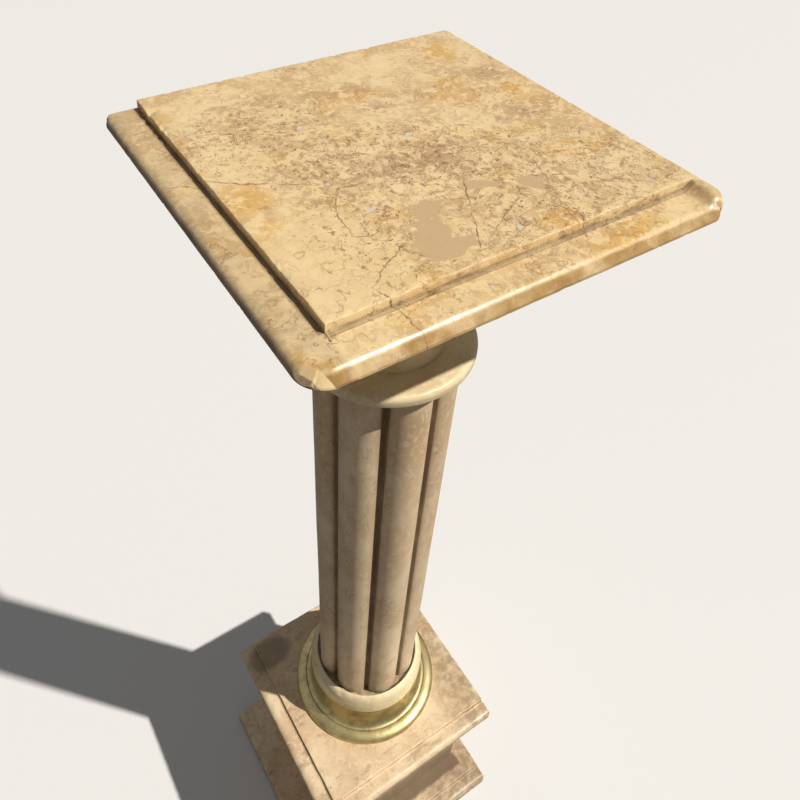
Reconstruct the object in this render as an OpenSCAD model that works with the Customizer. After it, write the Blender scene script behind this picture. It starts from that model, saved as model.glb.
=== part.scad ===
// Marble pedestal column: a square top plate on a turned neck, a thin capital
// disc, a shaft of eight reeds, a base ring, a brass collar, and a square plinth
// made of a moulded slab, a plain block and a moulded foot slab.
// The column's axis is the Z axis and the foot slab stands on Z = 0.
// The two show sides, -X and -Y, carry the mouldings. The other two are cut flush.

/* [Top plate] */
// Outer side of the square top plate
plate_side = 280; // [200:1:400]
// Full thickness of the top plate
plate_t = 13; // [12:0.5:30]
// How far the moulding lies below the raised field
plate_step = 5.8; // [2:0.1:8]
// Width of the moulding on the -X side
plate_mould_x = 23.5; // [16:0.5:40]
// Width of the moulding on the -Y side
plate_mould_y = 27.5; // [16:0.5:40]
// Length at the +X end of the -Y side that is left without a step
plate_run_out = 9; // [0:0.5:40]
// Radius to which the -X -Y corner is worn in plan
corner_round = 9; // [1:0.5:20]
// Length broken off the -Y side's lower edge at that corner
corner_break = 13; // [0:0.5:30]

/* [Neck and capital disc] */
// Radius of the neck where it stands on the disc
neck_r = 45; // [30:0.5:55]
// How far the round cap under the top plate spreads past the neck
neck_spread = 47; // [20:0.5:55]
// Height of the neck with its cap
neck_h = 140; // [60:1:200]
// Height of the neck's cap
neck_cap_h = 18; // [8:0.5:40]
// How far the capital disc stands out past the reeds
disc_overhang = 8.8; // [2:0.1:25]
// Thickness of the capital disc
disc_t = 9; // [5:0.5:30]

/* [Shaft] */
// Radius to the crown of a reed
shaft_r = 60.5; // [45:0.5:75]
// Height of the shaft
shaft_h = 552; // [300:1:900]
// Number of reeds round the shaft
reeds = 8; // [6:1:12]
// Depth of the valley between two reeds
valley_depth = 9; // [4:0.1:14]
// Width of the cut at the bottom of each valley
quirk_w = 6; // [1:0.1:8]
// Angle of the first valley from the +X axis
valley_angle = 12.5; // [0:0.5:44]

/* [Base ring and brass collar] */
// How far the marble base ring stands out past the reeds
ring_overhang = 10.5; // [2:0.1:25]
// Height of the base ring
ring_h = 34; // [20:0.5:60]
// Depth of the socket in the ring that the shaft stands in
socket_depth = 6; // [1:0.5:12]
// Clearance between the reeds' crowns and the socket's wall
socket_gap = 1.5; // [0.5:0.1:5]
// How far the collar's top rim stands inside the base ring
collar_inset = 3.5; // [1:0.1:8]
// How far the collar's foot spreads past its top rim
collar_spread = 24; // [18:0.5:50]
// Height of the brass collar
collar_h = 49; // [30:0.5:80]
// Height of the rounded band at the collar's foot
collar_band_h = 10; // [5:0.5:16]
// Radial width of that band
collar_band_w = 12.5; // [6:0.5:16]

/* [Plinth] */
// Margin of the slab's raised field round the collar's foot
slab_margin = 21.5; // [5:0.5:60]
// Width of the moulding round the plinth slab
slab_mould = 19.5; // [14:0.5:30]
// Thickness of the plinth slab
slab_t = 16; // [12:0.5:40]
// How far the plain block stands inside the slab's raised field
block_inset = 12; // [0:0.5:40]
// Height of the plain plinth block
block_h = 238; // [100:1:400]
// Margin of the foot slab's raised field round the plain block
foot_margin = 31; // [5:0.5:80]
// Width of the moulding round the foot slab
foot_mould = 20.5; // [14:0.5:30]
// Thickness of the foot slab
foot_t = 20; // [12:0.5:40]
// How far the plinth mouldings lie below their raised fields
slab_step = 4.5; // [2:0.1:7]

/* [Hidden] */
$fn = 96;
arc_steps = 10;

// Sizes that every moulded edge shares
nose_share = 0.44;   // part of a moulding's width that rolls down to the nose
fillet_w = 2.6;      // little fillet at the foot of the step
fillet_h = 0.7;
arris = 1.2;         // easing of the raised field's edge
under_round = 2.2;   // easing of the nose's lower edge

// Radii and sides, worked out from the shaft downwards
neck_cap_r = neck_r + neck_spread;
disc_r = shaft_r + disc_overhang;
ring_r = shaft_r + ring_overhang;
collar_top_r = ring_r - collar_inset;
collar_foot_r = collar_top_r + collar_spread;
slab_field = 2 * (collar_foot_r + slab_margin);
block_side = slab_field - 2 * block_inset;
foot_field = block_side + 2 * foot_margin;

// Levels, worked out from the floor upwards
block_z = foot_t;
slab_z = block_z + block_h;
collar_z = slab_z + slab_t;
ring_z = collar_z + collar_h;
shaft_z = ring_z + ring_h - socket_depth;
disc_z = shaft_z + shaft_h;
neck_z = disc_z + disc_t;
plate_z = neck_z + neck_h;

// Reeds: circles whose crowns touch shaft_r and which cross at the valley radius
valley_r = shaft_r - valley_depth;
half_pitch = 180 / reeds;
reed_axis_r = (pow(shaft_r, 2) - pow(valley_r, 2))
            / (2 * (shaft_r - valley_r * cos(half_pitch)));
reed_r = shaft_r - reed_axis_r;

marble_gold = [0.84, 0.70, 0.46];
marble_pale = [0.84, 0.76, 0.64];
brass = [0.72, 0.60, 0.26];

// Points on an ellipse from angle a0 to a1, both ends included
function arc(cx, cy, rx, ry, a0, a1) =
    [for (i = [0 : arc_steps])
        let (a = a0 + (a1 - a0) * i / arc_steps)
        [cx + rx * cos(a), cy + ry * sin(a)]];

// Section across a slab: nose at x = 0 on the moulded side, flush cut at x = len
module edge_section(len, t, w, step) {
    shelf = t - step;
    nose_w = nose_share * w;
    nose_drop = (shelf - under_round) * 0.55;
    polygon(concat(
        [[len, 0]],
        arc(under_round, under_round, under_round, under_round, 270, 180),
        arc(nose_w, shelf - nose_drop, nose_w, nose_drop, 180, 90),
        [[w - fillet_w, shelf], [w - fillet_w, shelf + fillet_h], [w, shelf + fillet_h]],
        arc(w + arris, t - arris, arris, arris, 180, 90),
        [[len, t]]));
}

// The same section where the step has run out: the nose rolls up to the field
module plain_section(len, t, w) {
    nose_w = nose_share * w;
    nose_drop = (t - under_round) * 0.62;
    polygon(concat(
        [[len, 0]],
        arc(under_round, under_round, under_round, under_round, 270, 180),
        arc(nose_w, t - nose_drop, nose_w, nose_drop, 180, 90),
        [[len, t]]));
}

// Slab from lo to hi in plan, moulded on its -X and -Y sides and mitred where
// they meet; run_out is the length of the -Y side that has no step
module moulded_slab(lo, hi, t, mould, step, run_out) {
    size = hi - lo;
    intersection() {
        translate([lo[0], hi[1], 0]) rotate([90, 0, 0])
            linear_extrude(size[1]) edge_section(size[0], t, mould[0], step);
        union() {
            translate([lo[0], lo[1], 0]) rotate([90, 0, 90])
                linear_extrude(size[0] - run_out) edge_section(size[1], t, mould[1], step);
            if (run_out > 0)
                translate([hi[0] - run_out, lo[1], 0]) rotate([90, 0, 90])
                    linear_extrude(run_out) plain_section(size[1], t, mould[1]);
        }
    }
}

// Plinth slab or foot slab: its raised field is centred on the column
module plinth_moulding(field, t, mould, step) {
    moulded_slab([-field / 2 - mould, -field / 2 - mould], [field / 2, field / 2],
                 t, [mould, mould], step, 0);
}

module foot_slab() {
    color(marble_pale) plinth_moulding(foot_field, foot_t, foot_mould, slab_step);
}

module plinth_block() {
    color(marble_pale)
        translate([-block_side / 2, -block_side / 2, block_z])
            cube([block_side, block_side, block_h]);
}

module plinth_slab() {
    color(marble_pale) translate([0, 0, slab_z])
        plinth_moulding(slab_field, slab_t, slab_mould, slab_step);
}

// Cast collar: a rim, a hollow curve that spreads downwards, and a rounded band
module brass_collar() {
    rim_h = 3.5;
    waist_r = collar_top_r - 1.5;
    line_r = collar_foot_r - collar_band_w;
    hollow_h = collar_h - rim_h - collar_band_h;
    band_edge = 2.5;
    color(brass) translate([0, 0, collar_z])
        rotate_extrude() polygon(concat(
            [[0, 0], [collar_foot_r, 0]],
            arc(line_r, band_edge, collar_band_w, collar_band_h - band_edge, 0, 90),
            [[line_r - 1, collar_band_h]],
            arc(line_r - 1, collar_h - rim_h, line_r - 1 - waist_r, hollow_h, 270, 180),
            [[collar_top_r, collar_h - rim_h], [collar_top_r, collar_h], [0, collar_h]]));
}

// Marble ring with a full shoulder, a shorter curve back to the brass rim and a
// shallow socket for the shaft's foot
module base_ring() {
    socket_r = shaft_r + socket_gap;
    shoulder_w = 9;
    shoulder_h = 0.6 * ring_h;
    foot_h = 0.16 * ring_h;
    foot_in = ring_r - collar_top_r;
    color(marble_pale) translate([0, 0, ring_z])
        rotate_extrude() polygon(concat(
            [[0, 0]],
            arc(ring_r - foot_in, foot_h, foot_in, foot_h, 270, 360),
            arc(ring_r - shoulder_w, ring_h - shoulder_h, shoulder_w, shoulder_h, 0, 90),
            [[socket_r, ring_h], [socket_r, ring_h - socket_depth], [0, ring_h - socket_depth]]));
}

module shaft() {
    color(marble_pale) translate([0, 0, shaft_z])
        linear_extrude(shaft_h) difference() {
            union() {
                circle(r = reed_axis_r);
                for (i = [0 : reeds - 1])
                    rotate(valley_angle + half_pitch * (2 * i + 1))
                        translate([reed_axis_r, 0]) circle(r = reed_r);
            }
            for (i = [0 : reeds - 1])
                rotate(valley_angle + 2 * half_pitch * i)
                    translate([valley_r, 0]) circle(d = quirk_w);
        }
}

// Thin round slab with a rolled upper edge
module capital_disc() {
    roll = disc_t / 2;
    color(marble_pale) translate([0, 0, disc_z])
        rotate_extrude() polygon(concat(
            [[0, 0], [disc_r - 1, 0], [disc_r, 1]],
            arc(disc_r - roll, disc_t - roll, roll, roll, 0, 90),
            [[0, disc_t]]));
}

// Plain turned neck that spreads to a round cap under the top plate
module neck() {
    spread = neck_cap_r - 8 - neck_r;
    flare_h = neck_h - neck_cap_h - 4;
    color(marble_pale) translate([0, 0, neck_z])
        rotate_extrude() polygon(concat(
            [[0, 0]],
            arc(neck_r + spread, 0, spread, flare_h, 180, 90),
            [[neck_r + spread, neck_h - neck_cap_h], [neck_cap_r, neck_h - neck_cap_h],
             [neck_cap_r, neck_h], [0, neck_h]]));
}

// What is lost at the top plate's worn corner: the corner itself, and a flake
// below it along a plane that leans inwards as it goes down
module corner_loss() {
    break_turn = 62;
    break_lean = 35;
    reach = corner_break * cos(break_turn) * cos(break_lean);
    block = 4 * corner_break;
    translate([0, 0, -1]) linear_extrude(plate_t + 2) difference() {
        translate([-1, -1]) square(corner_round + 1);
        translate([corner_round, corner_round]) circle(r = corner_round);
    }
    if (corner_break > 0)
        rotate([0, 0, break_turn]) rotate([0, -break_lean, 0])
            translate([reach - block, -block / 2, -block / 2]) cube(block);
}

module top_plate() {
    half = plate_side / 2;
    color(marble_gold) translate([0, 0, plate_z])
        difference() {
            moulded_slab([-half, -half], [half, half], plate_t,
                         [plate_mould_x, plate_mould_y], plate_step, plate_run_out);
            translate([-half, -half, 0]) corner_loss();
        }
}

foot_slab();
plinth_block();
plinth_slab();
brass_collar();
base_ring();
shaft();
capital_disc();
neck();
top_plate();
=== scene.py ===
"""Looks for a marble pedestal column: moulded slabs, a reeded shaft, turned stone and brass.

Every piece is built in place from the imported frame's boxes, in metres, with Z up and the
column's axis on Z. The moulded show sides of the slabs face -X and -Y.
"""

import functools
import math

import bmesh
import bpy
import numpy as np
from mathutils import Matrix, Vector


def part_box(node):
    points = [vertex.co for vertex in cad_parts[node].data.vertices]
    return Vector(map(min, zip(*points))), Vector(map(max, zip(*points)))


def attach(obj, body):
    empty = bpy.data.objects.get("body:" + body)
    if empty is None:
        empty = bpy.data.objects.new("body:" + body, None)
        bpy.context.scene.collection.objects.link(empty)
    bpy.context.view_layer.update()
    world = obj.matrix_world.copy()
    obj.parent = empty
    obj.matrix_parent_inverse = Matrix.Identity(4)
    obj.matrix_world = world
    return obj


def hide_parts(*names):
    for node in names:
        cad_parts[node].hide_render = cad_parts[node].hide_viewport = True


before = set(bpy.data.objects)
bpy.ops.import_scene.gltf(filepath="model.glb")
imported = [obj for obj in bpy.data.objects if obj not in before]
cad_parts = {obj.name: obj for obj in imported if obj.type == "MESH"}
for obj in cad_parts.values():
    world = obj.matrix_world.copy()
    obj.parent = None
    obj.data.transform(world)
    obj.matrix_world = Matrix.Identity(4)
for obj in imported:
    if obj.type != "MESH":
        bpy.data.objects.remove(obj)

bl_info = {
    "name": "Marble Pedestal Column",
    "version": (1, 0, 0),
    "blender": (4, 5, 0),
    "location": "View3D > Sidebar > Pedestal",
    "description": "Builds a marble pedestal column with worn mouldings and a brass collar",
    "category": "Add Mesh",
}

MM = 0.001
SHARP_ANGLE = math.radians(38)
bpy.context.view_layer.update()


# ---------------------------------------------------------------- settings


def tone(red, green, blue):
    """A colour given as it looks, 0 to 255 a channel, as the linear values that shaders use."""
    channels = [c / 255 for c in (red, green, blue)]
    return tuple(c / 12.92 if c <= 0.04045 else ((c + 0.055) / 1.055) ** 2.4 for c in channels)


def colour(name, description, *levels):
    return bpy.props.FloatVectorProperty(
        name=name, description=description, subtype="COLOR", size=3, min=0, max=1,
        default=tone(*levels))


def length(name, description, millimetres):
    return bpy.props.FloatProperty(
        name=name, description=description, subtype="DISTANCE", unit="LENGTH",
        default=millimetres * MM, min=0)


class PedestalSlabs(bpy.types.PropertyGroup):
    plate_step: length("Plate step", "Depth of the moulding below the top's raised field", 5.8)
    plate_mould_x: length("Plate moulding, -X", "Width of the moulding on the -X side", 23.5)
    plate_mould_y: length("Plate moulding, -Y", "Width of the moulding on the -Y side", 27.5)
    run_out: length("Run-out", "Length over which the -Y step dies out at its +X end", 9)
    flake: length("Corner flake", "How far the flake reaches in from the worn corner", 12.6)
    plinth_step: length("Plinth step", "Depth of the plinth mouldings below their fields", 4.5)
    slab_mould: length("Slab moulding", "Width of the plinth slab's moulding", 19.5)
    foot_mould: length("Foot moulding", "Width of the foot slab's moulding", 20.5)
    wear: length("Edge wear", "How far the arrises wander from straight", 0.22)


class PedestalTurning(bpy.types.PropertyGroup):
    reeds: bpy.props.IntProperty(
        name="Reeds", description="Number of reeds round the shaft", default=8, min=6, max=12)
    reed_radius: length("Reed radius", "Radius to the crown of a reed", 60.5)
    valley_depth: length("Valley depth", "Depth of the valley between two reeds", 9)
    quirk: length("Quirk width", "Width of the cut at the bottom of each valley", 6)
    first_valley: bpy.props.FloatProperty(
        name="First valley", description="Angle of the first valley from +X",
        subtype="ANGLE", unit="ROTATION", default=math.radians(12.5))
    socket_depth: length("Socket depth", "How deep the shaft stands in the ring", 6)
    socket_radius: length("Socket radius", "Radius of the ring's socket", 62)
    neck_radius: length("Neck radius", "Radius of the neck where it stands on the disc", 45)
    cap_height: length("Neck cap", "Height of the round cap under the plate", 18)
    collar_rim: length("Collar rim", "Radius of the collar's top rim", 67.5)
    band_width: length("Band width", "Radial width of the band at the collar's foot", 12.5)
    band_height: length("Band height", "Height of the band at the collar's foot", 10)


class PedestalFinish(bpy.types.PropertyGroup):
    cream: colour("Cream", "Light ground of the golden marble", 240, 212, 160)
    honey: colour("Honey", "Darker ground of the golden marble", 204, 168, 116)
    tan: colour("Tan", "Smooth patches in the golden marble", 204, 172, 128)
    rose: colour("Rose", "Pinkish brown mottling", 184, 144, 106)
    gold: colour("Gold", "Iron-stained patches", 218, 170, 84)
    # this amber is partly staining and partly painted shade on the -Y nose's face
    amber: colour("Amber", "Stained face of the -Y nose", 146, 106, 44)
    vein: colour("Vein", "Thin veins and specks", 128, 94, 62)
    spar: colour("Spar", "Small crystals", 214, 204, 198)
    pale: colour("Pale", "Light ground of the pale marble", 240, 216, 178)
    ivory: colour("Ivory", "Light ground of the disc, neck and ring", 250, 232, 188)
    blush: colour("Blush", "Darker ground of the pale marble", 206, 172, 134)
    # this dark colour paints shade into hollows, valleys, risers and angles as well as dirt
    grime_and_shade: colour("Grime", "Dirt held in hollows", 96, 76, 52)
    # this grey is a dirt film on the -X shelf and painted shade on the -X nose and the lower part
    # of the corner break
    soot_and_shade: colour("Soot", "Grey film of dirt on the -X shelf", 96, 86, 84)
    brass: colour("Brass", "Clean brass", 206, 190, 138)
    tarnish: colour("Tarnish", "Brass dulled by age", 134, 121, 86)
    floor: colour("Floor", "Studio floor", 232, 231, 229)
    floor_bounce: colour("Floor bounce", "Light that the floor sends back", 108, 105, 100)


# ---------------------------------------------------------------- nodes


def plug(tree, socket, term):
    """Links a Value to a socket, or writes a plain number or colour into it."""
    if isinstance(term, Value):
        tree.links.new(term.socket, socket)
    elif socket.type == "RGBA" and len(term) == 3:
        socket.default_value = (*term, 1)
    else:
        socket.default_value = term


class Value:
    """A node's output socket. Arithmetic on it adds Math nodes to its tree."""

    def __init__(self, tree, socket):
        self.tree = tree
        self.socket = socket

    def maths(self, operation, *others, first=True, clamp=False):
        node = self.tree.nodes.new("ShaderNodeMath")
        node.operation = operation
        node.use_clamp = clamp
        terms = (self, *others) if first else (*others, self)
        for socket, term in zip(node.inputs, terms):
            plug(self.tree, socket, term)
        return Value(self.tree, node.outputs[0])

    def __add__(self, other):
        return self.maths("ADD", other)

    def __sub__(self, other):
        return self.maths("SUBTRACT", other)

    def __rsub__(self, other):
        return self.maths("SUBTRACT", other, first=False)

    def __mul__(self, other):
        return self.maths("MULTIPLY", other)

    def __truediv__(self, other):
        return self.maths("DIVIDE", other)

    def __rtruediv__(self, other):
        return self.maths("DIVIDE", other, first=False)

    def __pow__(self, other):
        return self.maths("POWER", other)

    def __abs__(self):
        return self.maths("ABSOLUTE")

    def root(self):
        return self.maths("SQRT")

    def least(self, other):
        return self.maths("MINIMUM", other)

    def most(self, other):
        return self.maths("MAXIMUM", other)

    def clamped(self):
        return self.maths("ADD", 0.0, clamp=True)

    def sine(self):
        return self.maths("SINE")

    def cosine(self):
        return self.maths("COSINE")

    def ramp(self, low, high):
        """Rises smoothly from 0 at low to 1 at high, or falls where low is the larger."""
        node = self.tree.nodes.new("ShaderNodeMapRange")
        node.interpolation_type = "SMOOTHSTEP"
        rising = low <= high
        for socket, term in zip(node.inputs, (self, min(low, high), max(low, high),
                                              0 if rising else 1, 1 if rising else 0)):
            plug(self.tree, socket, term)
        return Value(self.tree, node.outputs[0])


class Graph:
    """Adds nodes to a shader or geometry tree."""

    def __init__(self, tree):
        self.tree = tree

    def add(self, kind, settings=None, sockets=None, out=0):
        node = self.tree.nodes.new(kind)
        for name, setting in (settings or {}).items():
            setattr(node, name, setting)
        for name, term in (sockets or {}).items():
            plug(self.tree, node.inputs[name], term)
        return Value(self.tree, node.outputs[out]) if node.outputs else node

    def mix(self, factor, a, b):
        """A colour that goes from a to b as the factor rises."""
        return self.add("ShaderNodeMix", {"data_type": "RGBA"}, {0: factor, 6: a, 7: b}, 2)

    def vector(self, operation, a, b):
        return self.add("ShaderNodeVectorMath", {"operation": operation}, {0: a, 1: b})

    def noise(self, place, size, detail=2.0, rough=0.5, out=0):
        """Soft noise whose blotches are about size across."""
        return self.add("ShaderNodeTexNoise", None, {
            "Vector": place, "Scale": 1 / size, "Detail": detail, "Roughness": rough}, out)

    def cells(self, place, size):
        """Scattered cells about size apart: distance from a cell's centre, and its own colour."""
        distance = self.add("ShaderNodeTexVoronoi", None, {"Vector": place, "Scale": 1 / size})
        return distance, Value(self.tree, distance.socket.node.outputs["Color"])

    def shifted(self, place, *steps):
        return self.vector("ADD", place, steps)

    def warped(self, place, size, amount, detail=2.0):
        """Moves the place about, by up to half of amount, in waves about size across."""
        push = self.vector("SUBTRACT", self.noise(place, size, detail, out=1), (0.5, 0.5, 0.5))
        return self.vector("ADD", place, self.vector("MULTIPLY", push, (amount,) * 3))

    def millimetres(self, stretch=1.0):
        """Places on the piece in its own millimetres; under 1, stretch draws the height out."""
        coordinates = self.add("ShaderNodeTexCoord", out="Object")
        return self.vector("MULTIPLY", coordinates, (1000.0, 1000.0, 1000.0 * stretch))

    def parts(self, vector):
        node = self.tree.nodes.new("ShaderNodeSeparateXYZ")
        plug(self.tree, node.inputs[0], vector)
        return [Value(self.tree, socket) for socket in node.outputs]

    def joined(self, x, y, z):
        return self.add("ShaderNodeCombineXYZ", None, {0: x, 1: y, 2: z})


def new_material(name):
    material = bpy.data.materials.new(name)
    material.use_nodes = True
    material.node_tree.nodes.clear()
    return material, Graph(material.node_tree)


def finish_material(graph, base, roughness, height, depth, metallic=0.0):
    """Puts the shader, its bump and the output on a material's tree."""
    bump = graph.add("ShaderNodeBump", None, {"Strength": 1.0, "Distance": depth, "Height": height})
    shader = graph.add("ShaderNodeBsdfPrincipled", None, {
        "Base Color": base, "Roughness": roughness, "Normal": bump, "Metallic": metallic})
    graph.add("ShaderNodeOutputMaterial", None, {"Surface": shader})


# ---------------------------------------------------------------- marble and brass

# Cracks in the top plate, each a run of points in millimetres in plan
TOP_CRACKS = [
    [(-140, 40), (-124, 33), (-113, 22), (-100, 13), (-86, 5), (-66, -8)],
    [(14, -46), (4, -64), (-8, -86), (-18, -102)],
    [(30, -77), (16, -84), (0, -94), (-10, -99)],
    [(66, -42), (60, -66), (46, -95), (50, -106), (44, -118)],
    [(-52, -80), (-70, -92), (-84, -101), (-78, -118), (-76, -142)],
    [(-38, -20), (-54, -18), (-66, -36), (-71, -62), (-62, -66), (-54, -64)],
    [(94, -72), (94, -90), (112, -104), (136, -102)],
]
# Patches in the top plate: centre, half sizes in millimetres and turn in degrees
TAN_PATCHES = [(-32, -80, 23, 10, 55), (-21, -59, 10, 6, 10), (-30, -94, 15, 6, -8),
               (17, -56, 12, 5, -44), (48, -68, 9, 6, 10), (74, -70, 9, 3.5, -40)]
CREAM_PATCHES = [(-44, 20, 16, 6, 34), (82, -78, 13, 7, -30), (50, 108, 44, 11, 8),
                 (-92, 34, 22, 24, 0), (-86, -72, 32, 48, 8), (98, 26, 14, 6, -10)]
BROWN_ZONES = [(0, 84, 34, 10, -8), (112, 66, 30, 10, -30), (0, -14, 52, 16, -6),
               (40, 58, 20, 9, 0), (112, 4, 30, 10, 10), (-48, 100, 12, 6, 0)]
GOLD_PATCHES = [(100, -48, 24, 7, -12), (108, 108, 14, 17, 0), (-106, -4, 14, 16, 20),
                (66, -127, 30, 7, 2), (82, 62, 8, 6, 0), (-126, -134, 8, 4, 10),
                (120, 34, 8, 8, 0), (14, 74, 12, 7, 0), (-104, -32, 9, 7, 0), (40, -104, 20, 8, 0)]
# a painted shadow on the plinth slab: centre, half sizes in millimetres and turn in degrees
PLINTH_SHADOW_PATCHES = [(-99, 88, 31, 20, 0)]
SPECKLED_ZONES = [(0, -8, 100, 44, -22), (60, -70, 90, 54, 0), (-70, 62, 50, 34, 0),
                  (-60, -64, 30, 50, 20)]


def crack_distance(x, y, route):
    """Distance in plan from a point to a run of straight lines."""
    distances = []
    for (ax, ay), (bx, by) in zip(route, route[1:]):
        dx, dy = bx - ax, by - ay
        along = (((x - ax) * dx + (y - ay) * dy) / (dx * dx + dy * dy)).clamped()
        off_x = x - ax - along * dx
        off_y = y - ay - along * dy
        distances.append((off_x * off_x + off_y * off_y).root())
    return functools.reduce(Value.least, distances)


def patch_mask(x, y, patches, edge):
    """1 inside any of the ellipses and 0 outside, over an edge of that softness."""
    distances = []
    for cx, cy, half_x, half_y, turn in patches:
        c, s = math.cos(math.radians(turn)), math.sin(math.radians(turn))
        u = x * (c / half_x) + y * (s / half_x) - (cx * c + cy * s) / half_x
        v = y * (c / half_y) - x * (s / half_y) - (cy * c - cx * s) / half_y
        distances.append(u * u + v * v)
    return functools.reduce(Value.least, distances).ramp(1 + edge, 1 - edge)


class Marble:
    """The natural figure of a stone: a mottled ground, thin broken veins, specks and shells."""

    def __init__(self, graph, stretch=1.0, offset=0.0):
        self.graph = graph
        self.place = graph.millimetres(stretch)
        start = graph.shifted(self.place, offset, offset, offset)
        self.wide = graph.warped(start, 30, 14)
        self.ragged = graph.warped(self.wide, 5.5, 7, 3)

    def soft(self, size, step, detail=1.0):
        """Soft clouds about size across; another step gives other clouds."""
        place = self.graph.shifted(self.wide, step, 2 * step, 3 * step)
        return self.graph.noise(place, size, detail)

    def mottle(self, base, tint, size, low, high, amount):
        """Tints ragged patches about size across."""
        spread = self.graph.noise(self.graph.shifted(self.ragged, size, 7, 3), size, 4, 0.68)
        return self.graph.mix(spread.ramp(low, high) * amount, base, tint)

    def veins(self, size, width, step, thin):
        """Long wandering veins about size apart, broken up where the soft noise is low."""
        place = self.graph.shifted(self.ragged, step, 5, step)
        ridge = abs(self.graph.noise(place, size, 4, 0.6) - 0.5)
        kept = self.soft(size * 1.3, step + 9).ramp(thin, thin + 0.1)
        return ridge.ramp(width, width * 0.1) * kept

    def specks(self, zone):
        """Short brown squiggles and dots, thickest in the zone."""
        marks = self.graph.noise(self.graph.shifted(self.ragged, 9, 44, 6), 3.6, 3, 0.72)
        level = 0.685 - zone * 0.095
        return ((marks - level) / 0.05).clamped()

    def shells(self):
        """Rings of small shells, and the crystals that fill some of them."""
        distance, colours = self.graph.cells(self.ragged, 14)
        chance, other, _ = self.graph.parts(colours)
        ring = abs(distance - 0.20).ramp(0.05, 0.01) * chance.ramp(0.72, 0.76)
        crystal = distance.ramp(0.19, 0.12) * other.ramp(0.88, 0.90)
        return ring, crystal


def weathered_and_shaded(graph, base, roughness, amount=1.0):
    """Darkens the hollows with dirt and painted shade, and makes the edges paler with wear and a
    painted highlight, from the piece's own attribute.
    """
    finish = bpy.context.scene.pedestal_finish
    hollow = graph.add("ShaderNodeAttribute", {"attribute_name": "hollow"}, out=2)
    patchy = graph.noise(graph.add("ShaderNodeTexCoord", out="Object"), 0.006, 2)
    # dirt and painted shade in the hollows
    dirt_and_shade = hollow.ramp(0.07, 0.45) * (patchy * 0.9 + 0.2).clamped() * amount
    # edges made paler: wear and a painted highlight on the arrises
    rubbed_and_highlit = hollow.ramp(-0.10, -0.35) * patchy.ramp(0.30, 0.60) * 0.50
    base = graph.mix(dirt_and_shade * 0.75, base, finish.grime_and_shade)
    base = graph.mix(rubbed_and_highlit, base, finish.cream)
    return base, roughness + dirt_and_shade * 0.3 + rubbed_and_highlit * 0.25


def top_plate_dirt_and_shade(graph, place, base):
    """Puts films of dirt, painted shade and the pale flake on the top plate's mouldings.

    Returns the new colour and how much rougher these films make the stone. Distances are in
    millimetres in from the -X and -Y edges and down from the raised field."""
    finish = bpy.context.scene.pedestal_finish
    low, high = box_mm("top_plate")
    x, y, z = graph.parts(place)
    in_x, in_y, down = x - float(low[0]), y - float(low[1]), float(high[2]) - z
    patchy = graph.noise(place, 16, 3).ramp(0.25, 0.70)

    # how far in from the corner, square to the flake
    to_corner = in_x * 0.927 + in_y * 0.375
    broken = in_y.ramp(16, 13) * down.ramp(5.8, 6.3) * to_corner.ramp(13.2, 12.6)
    flake = broken * to_corner.ramp(7.6, 8.4)
    shelf = in_x.ramp(26, 21) * down.ramp(3, 5) * (patchy * 0.20 + 0.08)
    # painted shade on the -X nose, which faces away from the key light
    nose_x_shade = in_x.ramp(9, 4) * down.ramp(6, 8.5) * (patchy * 0.20 + 0.52)
    # the -X shelf takes a film of dirt; the -X nose and the lower part of the corner break take
    # painted shade
    soot_and_shade = shelf.most(nose_x_shade).most(broken * 0.70) * (1 - flake)
    base = graph.mix(soot_and_shade, base, finish.soot_and_shade)
    base = graph.mix(flake * 0.7, base, finish.cream)

    # darker amber on the -Y nose's face: partly staining, partly painted shade
    nose_y_stain_and_shade = (in_y.ramp(7.5, 5) * down.ramp(6.4, 8.4) * (patchy * 0.40 + 0.34)
              * (1 - flake) * in_x.ramp(7, 12))
    base = graph.mix(nose_y_stain_and_shade, base, finish.amber)

    below_field = down.ramp(0.3, 0.8)
    # darker -Y riser: partly grime, partly painted shade
    riser_y_grime_and_shade = in_y.ramp(27.6, 27.2) * in_y.ramp(23.4, 24.8) * below_field * in_x.ramp(21, 23.5)
    # darker -X riser: painted shade
    riser_x_shade = (in_x.ramp(23.7, 23.3) * in_x.ramp(19, 21) * in_y.ramp(27, 28.5)
               * below_field * 0.60)
    base = graph.mix((riser_y_grime_and_shade * (patchy * 0.25 + 0.42)).most(riser_x_shade), base, finish.grime_and_shade)
    film = soot_and_shade.most(nose_y_stain_and_shade).most(riser_y_grime_and_shade * (patchy * 0.25 + 0.35))
    return base, film * 0.5 + nose_y_stain_and_shade * 0.5


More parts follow.
